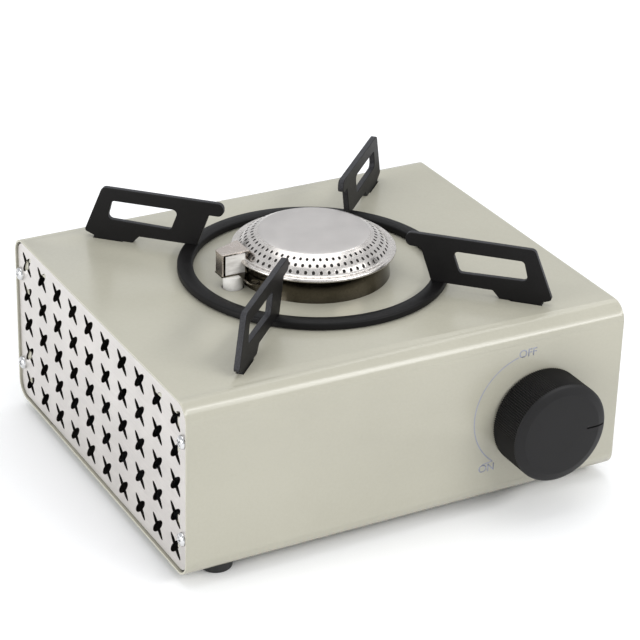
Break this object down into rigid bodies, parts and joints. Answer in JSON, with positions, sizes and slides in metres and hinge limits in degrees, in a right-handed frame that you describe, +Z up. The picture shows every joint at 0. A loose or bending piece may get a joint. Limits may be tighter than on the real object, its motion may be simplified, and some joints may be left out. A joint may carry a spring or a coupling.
{
  "type": "portable gas camping stove",
  "caption": "Compact portable gas stove: folded box body with perforated steel ends, round burner, lift-off pan stand, and a front knob that opens the gas valve and fires the igniter.",
  "frame": {"origin": "middle of the footprint of the whole object, knob included, on the floor under its feet", "axes": "+X to the user's right when facing the knob, +Y to the back, +Z up"},
  "size_m": [0.2386, 0.2242, 0.1249],
  "materials": {
    "box_paint": "satin warm grey-beige powder coat",
    "panel_steel": "satin stainless sheet",
    "screw_steel": "bright plated",
    "zinc_steel": "zinc-plated sheet",
    "foot_rubber": "matte black",
    "burner_steel": "polished stainless",
    "hood_steel": "nickel-plated",
    "ceramic": "white glazed ceramic",
    "knob_plastic": "matte black",
    "moulded_plastic": "matte dark",
    "lead_sleeve": "silicone sleeve",
    "cast_alloy": "die-cast",
    "brass": "machined",
    "shaft_steel": "machined steel",
    "magnet": "nickel-plated magnet",
    "stand_paint": "matte black heat-proof enamel"
  },
  "bodies": {
    "housing": {"housing_shell": "box_paint", "side_panel_left": "panel_steel", "side_panel_right": "panel_steel", "side_panel_screws_left": "screw_steel", "side_panel_screws_right": "screw_steel", "base_tray": "zinc_steel", "rubber_feet": "foot_rubber", "foot_screws": "screw_steel", "burner_bowl": "burner_steel", "burner_cap": "burner_steel", "burner_screws": "screw_steel", "mixing_tube": "burner_steel", "electrode_insulator": "ceramic", "electrode_wire": "hood_steel", "lead_boot": "foot_rubber", "spark_hood": "hood_steel", "piezo_igniter": "moulded_plastic", "igniter_clip": "zinc_steel", "ignition_lead": "lead_sleeve", "valve_body": "cast_alloy", "valve_cover": "cast_alloy", "valve_gasket": "foot_rubber", "valve_screws": "screw_steel", "gas_jet": "brass", "valve_bracket": "zinc_steel", "cartridge_receptor": "cast_alloy", "receptor_magnet": "magnet", "nozzle_seal": "foot_rubber", "cartridge_cradle": "zinc_steel", "port_guide": "moulded_plastic", "heat_shield": "zinc_steel"},
    "knob": {"knob": "knob_plastic", "knob_shaft": "shaft_steel", "ignition_cam": "moulded_plastic"},
    "plunger": {"igniter_plunger": "moulded_plastic"},
    "trivet": {"stand_ring": "stand_paint", "stand_arm_front_left": "stand_paint", "stand_arm_front_right": "stand_paint", "stand_arm_back_left": "stand_paint", "stand_arm_back_right": "stand_paint"}
  },
  "joints": [
    {"name": "knob_turn", "type": "hinge", "parent": "housing", "child": "knob", "pos_m": [0.0706, -0.0899, 0.0475], "axis": [0, -1, 0], "range_deg": [0, 125]},
    {"name": "igniter_push", "type": "slide", "parent": "housing", "child": "plunger", "axis": [-1, 0, 0], "range_m": [0, 0.006]},
    {"name": "trivet_lift", "type": "slide", "parent": "housing", "child": "trivet", "axis": [0, 0, 1], "range_m": [0, 0.045]}
  ],
  "couplings": [
    {"joint": "igniter_push", "follows": "knob_turn", "m_per_rad": 0.00275}
  ]
}
